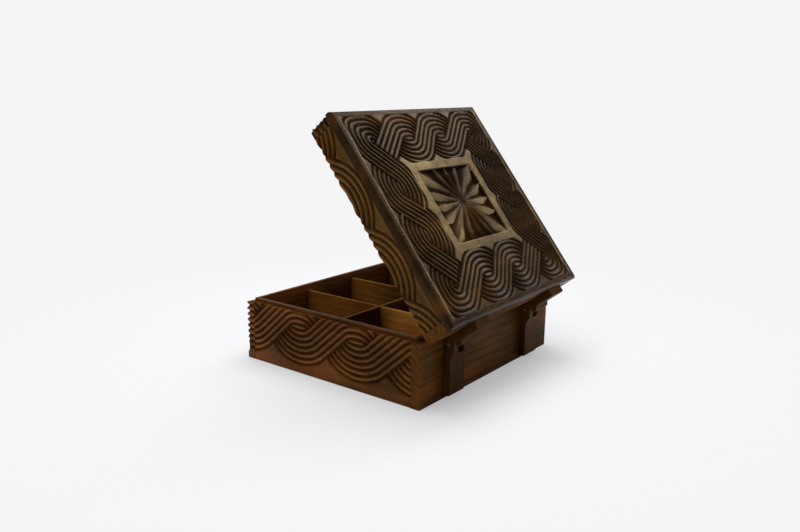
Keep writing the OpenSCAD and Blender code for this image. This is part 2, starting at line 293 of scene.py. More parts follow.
def lid_carving(x, y):
    """Height of the lid's plait, which runs round the panel through four corner eyes, and how pale its flat
    wood is painted: a painted sheen on the inner frame and the notches, fading towards the hinge, and a pale
    line on the X sides of the border. At a corner the arriving strand covers the leaving one, so the four
    sides' last legs are drawn last."""
    corners = np.array([(-LID_EYE_X, LID_EYE_Y), (LID_EYE_X, LID_EYE_Y), (LID_EYE_X, -LID_EYE_Y),
                        (-LID_EYE_X, -LID_EYE_Y)])
    eyes, legs = [], []
    for k in range(4):
        start, end = corners[k], corners[(k + 1) % 4]
        stops = [start + (end - start) * i / LID_LEGS for i in range(LID_LEGS + 1)]
        long = [0] + [LID_EYE] * (LID_LEGS - 1) + [0]
        eyes.append((start, (1, 0), 0, np.sign(start).tolist()))
        eyes += [(stop, abs(np.sign(end - start)), LID_EYE, None) for stop in stops[1:-1]]
        legs += [(i, (stops[i], stops[i + 1]), (long[i], long[i + 1])) for i in range(LID_LEGS)]
    legs = [leg[1:] for leg in sorted(legs, key=lambda leg: leg[0])]
    height, flat, _ = plait(x, y, eyes, legs, LID_PITCH, LID_REACH, LID_DEPTH, LID_ROUND)
    outer_x, outer_y = LID_EYE_X + PLAIT_HALF, LID_EYE_Y + PLAIT_HALF
    inner_x, inner_y = LID_EYE_X - PLAIT_HALF, LID_EYE_Y - PLAIT_HALF
    outside = np.maximum(np.maximum(np.abs(x) - outer_x, np.abs(y) - outer_y),
                         np.minimum(inner_x - np.abs(x), inner_y - np.abs(y)))
    left = smooth(-outside / FLAT_EDGE)
    beyond_x, beyond_y = np.abs(x) - outer_x, np.abs(y) - outer_y
    beyond = np.maximum(beyond_x, beyond_y)
    line = LINE_PALENESS * smooth((LINE_W - beyond) / LINE_EASE) * (beyond_x > beyond_y)
    outer = (np.abs(x) > LID_EYE_X) | (np.abs(y) > LID_EYE_Y)
    notches = INNER_NOTCH_SHEEN + (OUTER_NOTCH_SHEEN - INNER_NOTCH_SHEEN) * outer
    # painted sheen: the flat wood is palest at the front edge and keeps only a share of it at the hinge edge
    front = BACK_SHEEN_SHARE + (1 - BACK_SHEEN_SHARE) * smooth(0.5 - y / (2 * inner_y))
    pale = np.where(beyond < 0, front, line)
    return height * left, np.maximum(notches * front * flat * left, (1 - left) * pale)


def rosette(x, y):
    """Pointed leaves about the centre, the highest of them at each point, and their painted highlight.

    In coordinates scaled to the panel, a leaf widens evenly to its widest place and then closes to a point.
    Its rib is sharp, its facets fall away evenly from the rib, and the rib dips at the centre and the tip.
    The leaves to the corners are longer and broader. Facets that face the hinges get a painted highlight,
    strongest towards the tip.
    """
    px, py = x / PANEL_X, y / PANEL_Y
    tiny = 1e-6
    height = np.full(x.shape, -PANEL_DEPTH)
    rub_and_sheen = np.zeros(x.shape)
    for k in range(LEAVES):
        c, s = math.cos(2 * math.pi * k / LEAVES), math.sin(2 * math.pi * k / LEAVES)
        length = LEAF_REACH / max(abs(c), abs(s))
        broad = CORNER_BROAD if length > CORNER_LENGTH else LEAF_BROAD
        along = (px * c + py * s) / length
        aside = (py * c - px * s) / length
        across = np.abs(aside)
        t = np.clip(along, tiny, 1)
        closing = np.maximum(t - LEAF_WIDEST, 0) / (1 - LEAF_WIDEST)
        width = np.where(t < LEAF_WIDEST, t / LEAF_WIDEST, 1 - closing ** TIP_POWER)
        width = broad * width + tiny
        rib = -RIB_LOW - HEART_DIP * np.maximum(1 - t / HEART, 0) ** 2
        rib = rib - TIP_DIP * np.maximum((t - (1 - TIP)) / TIP, 0) ** 2
        fall = FACET_FALL * smooth(width / (FULL_WIDTH * broad)) + FACET_LEAST
        leaf = rib - fall * (across / width) ** FACET_POWER
        leaf = np.where((along > 0) & (along < 1) & (across < LEAF_SPREAD * width), leaf, -PANEL_DEPTH)
        # painted highlight: the facets that face the hinges are painted pale, more towards the tip
        faces_hinge = np.maximum(np.sign(aside) * c, 0)
        amount = LEAF_HIGHLIGHT * faces_hinge ** 2 * smooth((t - HIGHLIGHT_FROM) / HIGHLIGHT_OVER)
        rub_and_sheen = np.where(leaf > height, amount, rub_and_sheen)
        height = np.maximum(height, leaf)
    edge = np.minimum(PANEL_X - np.abs(x), PANEL_Y - np.abs(y))
    return np.maximum(height, -PANEL_DEPTH * np.clip(edge / PANEL_WALL, 0, 1)), rub_and_sheen


def edge_round(t, low, high, radius):
    """How far a rounded edge draws the surface in: a quarter circle over the last stretch at each limit."""
    near = np.minimum(t - low, high - t)
    short = np.clip(radius - near, 0, radius)
    return radius - np.sqrt(radius ** 2 - short ** 2)


# ---------- meshes ----------


def steps(limits, spacing):
    """Points along an axis through every limit, evenly spaced in between, no further apart than spacing."""
    parts = [np.linspace(a, b, max(2, math.ceil((b - a) / spacing) + 1))
             for a, b in zip(limits, limits[1:])]
    return np.unique(np.concatenate(parts).round(6))


def make_piece(name, node, points, faces, groove, rub_and_sheen):
    """A mesh piece from points in millimetres, put where its node is and riding on the node's body. The
    carved points come first. For each of them groove says how deep it lies, and the paleness layer how pale
    it is painted, partly wear and partly painted sheen and highlight."""
    body = "lid" if node.startswith("lid") else "base"
    if body == "lid":
        points = turn_lid(points, OPEN)
    volume = 0.0
    lists = []
    for loop in faces:
        if loop.ndim == 2:
            a, b, c, d = (points[loop[:, i]] for i in range(4))
            volume += np.einsum("ij,ij->", np.cross(a, b), c) + np.einsum("ij,ij->", np.cross(a, c), d)
            lists += loop.tolist()
        else:
            ring = points[loop]
            volume += np.einsum("ij,ij->", np.cross(ring[:1], ring[1:-1]), ring[2:])
            lists.append(loop.tolist())
    if volume < 0:
        lists = [loop[::-1] for loop in lists]
    mesh = bpy.data.meshes.new(name)
    mesh.from_pydata(points * MM, [], lists)
    # the paleness layer: partly wear, partly painted sheen and painted highlight
    layers = (("groove", groove, PLAIN_GROOVE), ("rub_and_sheen", rub_and_sheen, 0), ("carved", np.ones(groove.size), 0))
    for label, carved, plain in layers:
        values = np.full(len(points), plain, np.float32)
        values[:carved.size] = carved.ravel()
        mesh.attributes.new(label, "FLOAT", "POINT").data.foreach_set("value", values)
    obj = bpy.data.objects.new(name, mesh)
    bpy.context.scene.collection.objects.link(obj)
    merge_points(mesh)
    soften_shading(mesh)
    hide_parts(node)
    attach(obj, body)
    return obj


def merge_points(mesh):
    """Merge the points that lie on one another, and drop what that flattens."""
    work = bmesh.new()
    work.from_mesh(mesh)
    bmesh.ops.remove_doubles(work, verts=work.verts, dist=MERGE)
    bmesh.ops.dissolve_degenerate(work, edges=work.edges, dist=MERGE / 10)
    work.to_mesh(mesh)
    work.free()


def soften_shading(mesh):
    """Smooth shading with sharp corners, except inside the carving."""
    mesh.polygons.foreach_set("use_smooth", np.ones(len(mesh.polygons), bool))
    mesh.set_sharp_from_angle(angle=math.radians(CARVED_CORNER))
    if "sharp_edge" in mesh.attributes:
        ends = np.empty(2 * len(mesh.edges), np.int32)
        mesh.edges.foreach_get("vertices", ends)
        carved = np.empty(len(mesh.vertices), np.float32)
        mesh.attributes["carved"].data.foreach_get("value", carved)
        sharp = np.empty(len(mesh.edges), bool)
        mesh.attributes["sharp_edge"].data.foreach_get("value", sharp)
        inside = (carved[ends.reshape(-1, 2)] > 0.5).all(axis=1)
        mesh.attributes["sharp_edge"].data.foreach_set("value", sharp & ~inside)


def tube_faces(rows, stations):
    """Faces of a closed solid whose rows form a loop: quads between the rows, and a cap at each end."""
    index = np.arange(rows * stations).reshape(rows, stations)
    nxt = np.roll(index, -1, axis=0)
    quads = np.stack([index[:, :-1], nxt[:, :-1], nxt[:, 1:], index[:, 1:]], axis=-1).reshape(-1, 4)
    return [quads, index[::-1, 0], index[:, -1]]


def side_board(name, node, low, high, inner_rows, sign):
    """A carved side board: its section, up the carved face and down inside, is carried along the depth."""
    y = steps([-INNER_D, INNER_D], WALL_STEP)
    z = steps([low, low + EDGE_R, high - EDGE_R, high], WALL_STEP)
    yy, zz = np.meshgrid(y, z)
    carved, flat, strand = wall_carving(sign * yy, zz, HALF_D)
    drawn = edge_round(zz, low, high, EDGE_R) + edge_round(yy, -INNER_D, INNER_D, JOINT_R)
    face = np.stack([sign * (HALF_W + carved - drawn), yy, zz], axis=-1)
    rows = [np.stack([np.full(y.shape, sign * (HALF_W - inset)), y, np.full(y.shape, h)], axis=-1)
            for inset, h in inner_rows]
    points = np.concatenate([face, np.stack(rows)]).reshape(-1, 3)
    faces = tube_faces(len(z) + len(rows), len(y))
    groove = PLAIN_GROOVE * flat - carved / WALL_DEPTH
    return make_piece(name, node, points, faces, groove, wall_rub_and_sheen(zz, flat, strand))


def front_board(name, node, low, high, inner_rows):
    """A carved front board with carved ends. Its stations run along one end, the front and the other end, and
    its rows up the outside and back down inside. Near a corner each face gives way to the other's carving."""
    end = np.linspace(0, 1, math.ceil(BOARD_T / WALL_STEP) + 1)
    front = np.linspace(-1, 1, math.ceil(2 * HALF_W / WALL_STEP) + 1)
    across = np.concatenate([-np.ones(len(end) - 1), front, np.ones(len(end) - 1)])
    out = np.concatenate([end[:-1], np.ones(len(front)), end[-2::-1]])
    z = steps([low, low + EDGE_R, high - EDGE_R, high], WALL_STEP)
    aa, zz = np.meshgrid(across, z)
    oo = np.meshgrid(out, z)[0]
    on_end = np.abs(aa) > FULLY_OUT
    on_front = oo > FULLY_OUT
    soft = edge_round(zz, low, high, EDGE_R)
    front_cut, flat, strand = wall_carving(aa * HALF_W, zz, HALF_W)
    front_cut = front_cut - soft
    end_cut = tooth_carving(zz) - soft
    y_cut = np.where(on_front, front_cut, front_cut * smooth(1 - (1 - oo) * BOARD_T / CORNER_TURN))
    x_cut = np.where(on_end, end_cut, end_cut * smooth(1 - (1 - np.abs(aa)) * HALF_W / CORNER_TURN))
    # the far limit lies beyond the corner, so only the edge by the side board is rounded
    x_cut = x_cut - on_end * edge_round(oo * BOARD_T, 0, 3 * BOARD_T, JOINT_R)
    x = aa * HALF_W + np.sign(aa) * x_cut
    y = -(INNER_D + oo * BOARD_T) - y_cut
    face = np.stack([x, y, zz], axis=-1)
    rows = [np.stack([across * (HALF_W - inset_x), -(INNER_D + out * (BOARD_T - inset_y)),
                      np.full(across.shape, h)], axis=-1) for inset_x, inset_y, h in inner_rows]
    points = np.concatenate([face, np.stack(rows)]).reshape(-1, 3)
    carved = np.where(on_front & ~on_end, -front_cut, np.maximum(-end_cut, -y_cut)) / WALL_DEPTH
    faces = tube_faces(len(z) + len(rows), len(across))
    return make_piece(name, node, points, faces, carved, wall_rub_and_sheen(zz, flat * on_front, strand * on_front))


def lid_board(name, node):
    """The lid's top board: carved surface, chamfer with softened corners, upright edges, flat underside."""
    flat_x, flat_y = HALF_W - TOP_CHAMFER, HALF_D - TOP_CHAMFER
    x = steps([-flat_x, -PANEL_X, PANEL_X, flat_x], LID_STEP)
    y = steps([-flat_y, -PANEL_Y, PANEL_Y, flat_y], LID_STEP)
    xx, yy = np.meshgrid(x, y, indexing="ij")
    inside = (np.abs(xx) < PANEL_X) & (np.abs(yy) < PANEL_Y)
    height, flat = lid_carving(xx, yy)
    leaves, leaf_highlight = rosette(xx, yy)
    carved = np.where(inside, leaves, height)
    # pale crests, partly wear and partly painted highlight: less on the left side, more by the panel
    reached = LEFT_SHARE + (1 - LEFT_SHARE) * smooth(0.5 + xx / PANEL_X)
    inward = np.minimum(LID_EYE_X - np.abs(xx), LID_EYE_Y - np.abs(yy)) / (2 * PLAIT_HALF) + 0.5
    reached *= OUTER_SHARE + (INNER_SHARE - OUTER_SHARE) * smooth(inward)
    rub_and_sheen = np.where(inside, leaf_highlight, np.maximum(flat, LID_RUB_AND_SHEEN * reached * (height < -UNCUT)))
    top = np.stack([xx, yy, LID_TOP + carved], axis=-1)
    index = np.arange(xx.size).reshape(xx.shape)
    quads = np.stack([index[:-1, :-1], index[1:, :-1], index[1:, 1:], index[:-1, 1:]], axis=-1).reshape(-1, 4)
    rim = np.concatenate([index[:-1, 0], index[-1, :-1], index[:0:-1, -1], index[0, :0:-1]])
    rim_x, rim_y = xx.ravel()[rim] / flat_x, yy.ravel()[rim] / flat_y
    c = TOP_CHAMFER
    # each ring's distance out from the flat top's edge, and its height over the top
    outline = [(0.12, -0.05), (0.35, -0.22), (c - 0.25, -c + 0.1), (c - 0.05, -c - 0.1), (c, -c - 0.4),
               (c, RAIL_TOP - LID_TOP + 0.3), (c - 0.3, RAIL_TOP - LID_TOP)]
    rings = [np.stack([rim_x * (flat_x + out), rim_y * (flat_y + out), np.full(rim.shape, LID_TOP + h)],
                      axis=-1) for out, h in outline]
    points = np.concatenate([top.reshape(-1, 3), np.concatenate(rings)])
    loops = [rim] + [xx.size + len(rim) * k + np.arange(len(rim)) for k in range(len(rings))]
    faces = [quads]
    for upper, lower in zip(loops, loops[1:]):
        faces.append(np.stack([np.roll(upper, -1), upper, lower, np.roll(lower, -1)], axis=-1))
    faces.append(loops[-1][::-1])
    not_pale = (height > -UNCUT) & (flat < NOT_PALE)
    groove = np.where(inside, -carved / PANEL_DEPTH - LEAF_SHINE * leaf_highlight,
                      PLAIN_GROOVE * not_pale - carved / LID_DEPTH)
    return make_piece(name, node, points, faces, groove, rub_and_sheen)


def softened_copy(name, node, radius):
    """A copy of a frame node with its edges rounded, holes and all."""
    mesh = frame["nodes"][node].data.copy()
    mesh.name = name
    work = bmesh.new()
    work.from_mesh(mesh)
    bmesh.ops.remove_doubles(work, verts=work.verts, dist=MERGE)
    bmesh.ops.dissolve_limit(work, angle_limit=math.radians(1), verts=work.verts, edges=work.edges)
    work.to_mesh(mesh)
    work.free()
    obj = bpy.data.objects.new(name, mesh)
    bpy.context.scene.collection.objects.link(obj)
    bevel = obj.modifiers.new("softened", "BEVEL")
    bevel.width = radius * MM
    bevel.segments = 3
    bevel.limit_method = "ANGLE"
    bevel.angle_limit = math.radians(BEVEL_CORNER)
    bevel.harden_normals = False
    mesh.polygons.foreach_set("use_smooth", np.ones(len(mesh.polygons), bool))
    mesh.set_sharp_from_angle(angle=math.radians(PLAIN_CORNER))
    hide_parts(node)
    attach(obj, "lid" if node.startswith("lid") else "base")
    return obj


base_rows = [(SHOULDER_T, BASE_H), (SHOULDER_T, LIP_TOP), (BOARD_T, LIP_TOP), (BOARD_T, FLOOR_Z),
             (BOARD_T - BOTTOM_LET, FLOOR_Z), (BOARD_T - BOTTOM_LET, 0)]
rail_rows = [(BOARD_T, RAIL_TOP), (BOARD_T, RIM_Z + REBATE_H),
             (BOARD_T - REBATE_T, RIM_Z + REBATE_H), (BOARD_T - REBATE_T, RIM_Z)]
pieces = {}
for sign, side in ((1, "right"), (-1, "left")):
    pieces["base_" + side] = side_board("base_%s_board" % side, "base_" + side, 0, BASE_H, base_rows, sign)
    pieces["lid_" + side] = side_board("lid_%s_rail" % side, "lid_" + side, RIM_Z, RAIL_TOP, rail_rows, sign)

front_base_rows = [(SHOULDER_T, SHOULDER_T, BASE_H), (SHOULDER_T, SHOULDER_T, LIP_TOP),
                   (SHOULDER_T, BOARD_T, LIP_TOP), (SHOULDER_T, BOARD_T, FLOOR_Z),
                   (BOTTOM_LET, BOARD_T - BOTTOM_LET, FLOOR_Z), (BOTTOM_LET, BOARD_T - BOTTOM_LET, 0)]
front_rail_rows = [(BOARD_T - REBATE_T, BOARD_T, RAIL_TOP), (BOARD_T - REBATE_T, BOARD_T, RIM_Z + REBATE_H),
                   (BOARD_T - REBATE_T, BOARD_T - REBATE_T, RIM_Z + REBATE_H),
                   (BOARD_T - REBATE_T, BOARD_T - REBATE_T, RIM_Z)]
pieces["base_front"] = front_board("base_front_board", "base_front", 0, BASE_H, front_base_rows)
pieces["lid_front"] = front_board("lid_front_rail", "lid_front", RIM_Z, RAIL_TOP, front_rail_rows)
pieces["lid_top"] = lid_board("lid_carved_top", "lid_top")

SOFTENED = {"base_back": 0.7, "lid_back": 0.5, "base_bottom": 0.3,
            "divider_left": 0.6, "divider_right": 0.6, "divider_cross": 0.6,
            "base_leaf_left": 0.5, "base_leaf_right": 0.5, "lid_leaf_left": 0.5, "lid_leaf_right": 0.5}
for node, radius in SOFTENED.items():
    pieces[node] = softened_copy(node + "_soft", node, radius)

# ---------- materials ----------


def add(tree, kind, inputs=None, **settings):
    """A node with its settings, and with each input set to a value or linked from a socket."""
    node = tree.nodes.new(kind)
    for key, value in settings.items():
        setattr(node, key, value)
    for key, value in (inputs or {}).items():
        if isinstance(value, bpy.types.NodeSocket):
            tree.links.new(value, node.inputs[key])
        else:
            node.inputs[key].default_value = value
    return node


def math_node(tree, operation, a, b=0.0, c=0.0, clamp=False):
    """The result of one sum."""
    node = add(tree, "ShaderNodeMath", {0: a, 1: b, 2: c}, operation=operation, use_clamp=clamp)
    return node.outputs[0]


def vector_math(tree, operation, a, b):
    """The result of an operation on two vectors."""
    return add(tree, "ShaderNodeVectorMath", {0: a, 1: b}, operation=operation).outputs[0]


def blend(tree, factor, a, b, mode="MIX"):
    """Two colours mixed by a factor."""
    node = add(tree, "ShaderNodeMix", {0: factor, 6: a, 7: b}, data_type="RGBA", blend_type=mode)
    return node.outputs[2]


def span(tree, value, low, high, to_low=0.0, to_high=1.0):
    """A value carried from one range to another, held at the ends."""
    node = add(tree, "ShaderNodeMapRange", {0: value, 1: low, 2: high, 3: to_low, 4: to_high})
    return node.outputs[0]


def noise(tree, place, scale, detail=3.0, rough=0.55):
    """Noise between 0 and 1 at a scale that may differ along the three axes."""
    stretched = vector_math(tree, "MULTIPLY", place, scale)
    node = add(tree, "ShaderNodeTexNoise",
               {"Vector": stretched, "Scale": 1.0, "Detail": detail, "Roughness": rough})
    return node.outputs["Fac"]


def new_group(name, inputs, outputs):
    """A node group with named sockets; returns its tree, its input node and its output node."""
    tree = bpy.data.node_groups.new(name, "ShaderNodeTree")
    kinds = {"colour": "NodeSocketColor", "value": "NodeSocketFloat", "place": "NodeSocketVector"}
    for label, kind in inputs:
        tree.interface.new_socket(name=label, in_out="INPUT", socket_type=kinds[kind])
    for label, kind in outputs:
        tree.interface.new_socket(name=label, in_out="OUTPUT", socket_type=kinds[kind])
    return tree, tree.nodes.new("NodeGroupInput"), tree.nodes.new("NodeGroupOutput")


def finish_group(tree, result, sockets):
    """Link a group's results to its output node."""
    for label, socket in sockets.items():
        tree.links.new(socket, result.inputs[label])
    return tree


def grain_group():
    """Wood with its grain along X: growth bands, streaks, short dark pores, red patches and a slow shade."""
    tree, given, result = new_group(
        "wood grain",
        [("Place", "place"), ("Dark", "colour"), ("Light", "colour"), ("Red", "colour"),
         ("Contrast", "value")],
        [("Colour", "colour"), ("Tone", "value"), ("Pores", "value"), ("Height", "value"),
         ("Shade", "value")])
    place = given.outputs["Place"]
    sway = add(tree, "ShaderNodeTexNoise", {"Vector": place, "Scale": 9.0, "Detail": 2.0}).outputs["Color"]
    sway = vector_math(tree, "SUBTRACT", sway, (0.5, 0.5, 0.5))
    sway = vector_math(tree, "MULTIPLY", sway, (0.0, 0.012, 0.012))
    place = vector_math(tree, "ADD", place, sway)
    streaks = noise(tree, place, (11.0, 330.0, 330.0), 5.0, 0.62)
    far = vector_math(tree, "MULTIPLY", place, (0.12, 1.0, 1.0))
    far = vector_math(tree, "ADD", far, (0.0, 0.21, 0.34))
    bands = add(tree, "ShaderNodeTexWave", {"Vector": far, "Scale": 42.0, "Distortion": 6.0, "Detail": 2.0,
                                            "Detail Scale": 1.2}, wave_type="RINGS",
                rings_direction="X").outputs["Fac"]
    mottle = noise(tree, place, (9.0, 26.0, 26.0), 2.0)
    tone = math_node(tree, "MULTIPLY", streaks, 0.62)
    tone = math_node(tree, "MULTIPLY_ADD", bands, 0.13, tone)
    tone = math_node(tree, "MULTIPLY_ADD", mottle, 0.25, tone)
    tone = math_node(tree, "SUBTRACT", tone, 0.5)
    tone = math_node(tree, "MULTIPLY_ADD", tone, given.outputs["Contrast"], 0.5, clamp=True)
    pores = span(tree, noise(tree, place, (95.0, 2300.0, 2300.0), 2.0), 0.56, 0.70)
    colour = blend(tree, tone, given.outputs["Dark"], given.outputs["Light"])
    red = span(tree, noise(tree, place, (5.0, 34.0, 34.0), 2.0), 0.50, 0.72, 0.0, 0.75)
    colour = blend(tree, red, colour, given.outputs["Red"])
    colour = blend(tree, math_node(tree, "MULTIPLY", pores, 0.45), colour, given.outputs["Dark"])
    height = math_node(tree, "MULTIPLY_ADD", pores, -0.6, math_node(tree, "MULTIPLY", streaks, 0.5))
    shade = span(tree, noise(tree, place, (9.0, 17.0, 17.0), 3.0), 0.40, 0.60, 0.66, 1.34)
    return finish_group(tree, result, {"Colour": colour, "Tone": tone, "Pores": pores, "Height": height,
                                       "Shade": shade})


def handling_and_sheen_group():
    """What hands and wax do to carved wood, with painted sheen: dark wax stays in the grooves, and crests are
    painted pale, partly wear and partly painted sheen. Crests shine, least of all where they are palest."""
    tree, given, result = new_group(
        "handled carving with painted sheen",
        [("Place", "place"), ("Colour", "colour"), ("Groove", "value"), ("Rub and sheen", "value"),
         ("Rubbed and sheen", "colour"), ("Wax", "colour")],
        [("Colour", "colour"), ("Roughness", "value"), ("Height", "value"), ("Polish", "value")])
    groove = given.outputs["Groove"]
    patches = noise(tree, given.outputs["Place"], (60.0, 90.0, 90.0), 4.0, 0.65)
    patchy = span(tree, patches, 0.34, 0.66, 0.55, 1.1)
    # crests are painted pale by the paleness layer, partly wear and partly painted sheen
    crest = span(tree, groove, 0.0, 0.30, 1.0, 0.0)
    rubbed_and_sheen = math_node(tree, "MULTIPLY", crest, math_node(tree, "MULTIPLY", patchy, given.outputs["Rub and sheen"]))
    colour = blend(tree, rubbed_and_sheen, given.outputs["Colour"], given.outputs["Rubbed and sheen"])
    deep = span(tree, groove, 0.35, 0.95)
    colour = blend(tree, math_node(tree, "MULTIPLY", deep, 0.7), colour, given.outputs["Wax"])
    rough = math_node(tree, "MULTIPLY_ADD", patchy, 0.10, span(tree, deep, 0.0, 1.0, 0.20, 0.60))
    marks = noise(tree, given.outputs["Place"], (420.0, 420.0, 420.0), 2.0)
    polish = span(tree, groove, 0.05, 0.6, 1.0, 0.1)
    polish = math_node(tree, "MULTIPLY", polish, span(tree, given.outputs["Rub and sheen"], 0.0, 1.0, 1.0, 0.3))
    return finish_group(tree, result, {"Colour": colour, "Roughness": rough, "Height": marks,
                                       "Polish": polish})


GRAIN = grain_group()
HANDLING_AND_SHEEN = handling_and_sheen_group()
DARK, LIGHT = (0.0230, 0.0068, 0.0010, 1), (0.1560, 0.0560, 0.0092, 1)
RED = (0.1500, 0.0360, 0.0055, 1)
RAIL_DARK, RAIL_LIGHT = (0.0150, 0.0055, 0.0008, 1), (0.1000, 0.0450, 0.0080, 1)
RAIL_RED = (0.1150, 0.0380, 0.0050, 1)
TOP_DARK, TOP_LIGHT = (0.0050, 0.0018, 0.0003, 1), (0.0310, 0.0130, 0.0023, 1)
TOP_RED = (0.0750, 0.0260, 0.0038, 1)
BACK_DARK, BACK_LIGHT = (0.0160, 0.0055, 0.0008, 1), (0.1150, 0.0450, 0.0078, 1)
BACK_RED = (0.1150, 0.0360, 0.0048, 1)
CONTRAST, BACK_CONTRAST = 1.6, 1.8           # how strong the figure is
INSIDE_DARK, INSIDE_LIGHT = (0.0480, 0.0170, 0.0030, 1), (0.2150, 0.0920, 0.0170, 1)
LEAF_DARK, LEAF_LIGHT = (0.0180, 0.0056, 0.0009, 1), (0.0860, 0.0320, 0.0066, 1)
LEAF_RED = (0.0500, 0.0165, 0.0042, 1)
WAX = (0.0100, 0.0035, 0.0007, 1)
# pale crest colours, partly worn wood and partly painted sheen; on the lid also the frame's painted sheen and
# the leaves' painted highlight
RUBBED_AND_SHEEN_SIDE, RUBBED_AND_SHEEN_TOP = (0.2200, 0.1020, 0.0270, 1), (0.2980, 0.2150, 0.1040, 1)
STEEL, STAIN = (0.2600, 0.2300, 0.2000, 1), (0.1000, 0.0700, 0.0500, 1)
PAINTED_LIGHT_FROM = (0.0, 0.03)                     # depths between which the painted light sets in, in metres
# painted light: how much brighter the back halves of the long dividers are painted
PAINTED_LIGHT_GAIN = (2.8, 3.1, 3.0, 1)
SHEEN, CARVED_SHEEN, TOP_SHEEN = 0.06, 0.26, 0.30    # waxed wood mirrors little, the lid more than the rest
SHEEN_TINT = (1.0, 0.78, 0.42, 1)
ROUGH = (0.58, 0.44)                         # roughness of plain wood, in dark figure and in light
BUMP = 0.35                                  # how strongly the grain shows as relief
MARKS = 0.25                                 # height of the carving's tool marks beside the grain's


def board_place(tree, on_lid, grain):
    """Object coordinates, turned closed for a lid piece, with the grain's direction brought to X."""
    place = add(tree, "ShaderNodeTexCoord").outputs["Object"]
    if on_lid:
        turn = Matrix.Rotation(OPEN, 3, "X")
        pin = np.array([0, HINGE_Y, HINGE_Z]) * MM
        shift = pin - np.array(turn) @ pin
        mapping = add(tree, "ShaderNodeMapping", {"Vector": place, "Location": tuple(shift),
                                                  "Rotation": (OPEN, 0.0, 0.0)})
        place = mapping.outputs[0]
    turned = {"x": (0.0, 0.0, 0.0), "y": (0.0, 0.0, math.pi / 2), "z": (0.0, math.pi / 2, 0.0)}[grain]
    return add(tree, "ShaderNodeMapping", {"Vector": place, "Rotation": turned}).outputs[0]


def wood(name, on_lid, grain, seed, dark=DARK, light=LIGHT, red=RED, contrast=CONTRAST,
         rubbed_and_sheen=None, sheen=SHEEN, painted_light=False):
    """A wood finish. The seed slides the grain, so that no two boards match. A carved finish gives the colour
    of its pale crests, partly wear and partly painted sheen. With painted light the wood is paler and more
    golden towards the back of the box, a painted pool of light."""
    material = bpy.data.materials.new(name)
    material.use_nodes = True
    tree = material.node_tree
    tree.nodes.clear()
    place = board_place(tree, on_lid, grain)
    place = add(tree, "ShaderNodeMapping", {"Vector": place,
                                            "Location": (0.31 * seed, 0.17 * seed, 0.23 * seed)}).outputs[0]
    figure = add(tree, "ShaderNodeGroup", node_tree=GRAIN)
    tree.links.new(place, figure.inputs["Place"])
    for label, value in (("Dark", dark), ("Light", light), ("Red", red), ("Contrast", contrast)):
        figure.inputs[label].default_value = value
    shader = add(tree, "ShaderNodeBsdfPrincipled",
                 {"IOR": 1.5, "Specular IOR Level": sheen, "Specular Tint": SHEEN_TINT})
    colour, height = figure.outputs["Colour"], figure.outputs["Height"]
    if rubbed_and_sheen:
        handled_and_sheen = add(tree, "ShaderNodeGroup", node_tree=HANDLING_AND_SHEEN)
        groove = add(tree, "ShaderNodeAttribute", attribute_name="groove").outputs["Fac"]
        rub_and_sheen = add(tree, "ShaderNodeAttribute", attribute_name="rub_and_sheen").outputs["Fac"]
        for label, socket in (("Place", place), ("Colour", colour), ("Groove", groove), ("Rub and sheen", rub_and_sheen)):
            tree.links.new(socket, handled_and_sheen.inputs[label])
        handled_and_sheen.inputs["Rubbed and sheen"].default_value = rubbed_and_sheen
        handled_and_sheen.inputs["Wax"].default_value = WAX
        colour = handled_and_sheen.outputs["Colour"]
        tree.links.new(handled_and_sheen.outputs["Roughness"], shader.inputs["Roughness"])
        shine = math_node(tree, "MULTIPLY", handled_and_sheen.outputs["Polish"], sheen)
        tree.links.new(shine, shader.inputs["Specular IOR Level"])
        height = math_node(tree, "MULTIPLY_ADD", handled_and_sheen.outputs["Height"], MARKS, height)
    else:
        amount = span(tree, figure.outputs["Tone"], 0.0, 1.0, *ROUGH)
        amount = math_node(tree, "MULTIPLY_ADD", figure.outputs["Pores"], 0.15, amount)
        tree.links.new(amount, shader.inputs["Roughness"])
    colour = blend(tree, 1.0, colour, figure.outputs["Shade"], "MULTIPLY")
    # painted light: a painted pool of light on the long dividers towards the back of the box
    if painted_light:
        in_box = add(tree, "ShaderNodeTexCoord").outputs["Object"]
        depth = add(tree, "ShaderNodeSeparateXYZ", {0: in_box}).outputs["Y"]
        share = span(tree, depth, *PAINTED_LIGHT_FROM)
        colour = blend(tree, share, colour, blend(tree, 1.0, colour, PAINTED_LIGHT_GAIN, "MULTIPLY"))
    tree.links.new(colour, shader.inputs["Base Color"])
    relief = add(tree, "ShaderNodeBump", {"Strength": BUMP, "Distance": 0.0004, "Height": height})
    tree.links.new(relief.outputs[0], shader.inputs["Normal"])
    output = add(tree, "ShaderNodeOutputMaterial")
    tree.links.new(shader.outputs[0], output.inputs["Surface"])
    return material


def steel(name):
    """Dull brown-stained steel with fine scratches across it."""
    material = bpy.data.materials.new(name)
    material.use_nodes = True
    tree = material.node_tree
    shader = tree.nodes["Principled BSDF"]
    place = add(tree, "ShaderNodeTexCoord").outputs["Object"]
    stain = noise(tree, place, (260.0, 260.0, 260.0), 4.0)
    scratch = noise(tree, place, (300.0, 4000.0, 4000.0), 2.0)
    colour = blend(tree, span(tree, stain, 0.4, 0.62), STEEL, STAIN)
    tree.links.new(colour, shader.inputs["Base Color"])
    tree.links.new(span(tree, stain, 0.3, 0.7, 0.35, 0.6), shader.inputs["Roughness"])
    relief = add(tree, "ShaderNodeBump", {"Strength": 0.2, "Distance": 0.0001, "Height": scratch})
    tree.links.new(relief.outputs[0], shader.inputs["Normal"])
    shader.inputs["Metallic"].default_value = 1.0
    return material


def dress(node, material):
    """Put a finish on the piece that stands for a node, or on the node itself."""
    obj = pieces.get(node, frame["nodes"][node])
    obj.data.materials.clear()
    obj.data.materials.append(material)


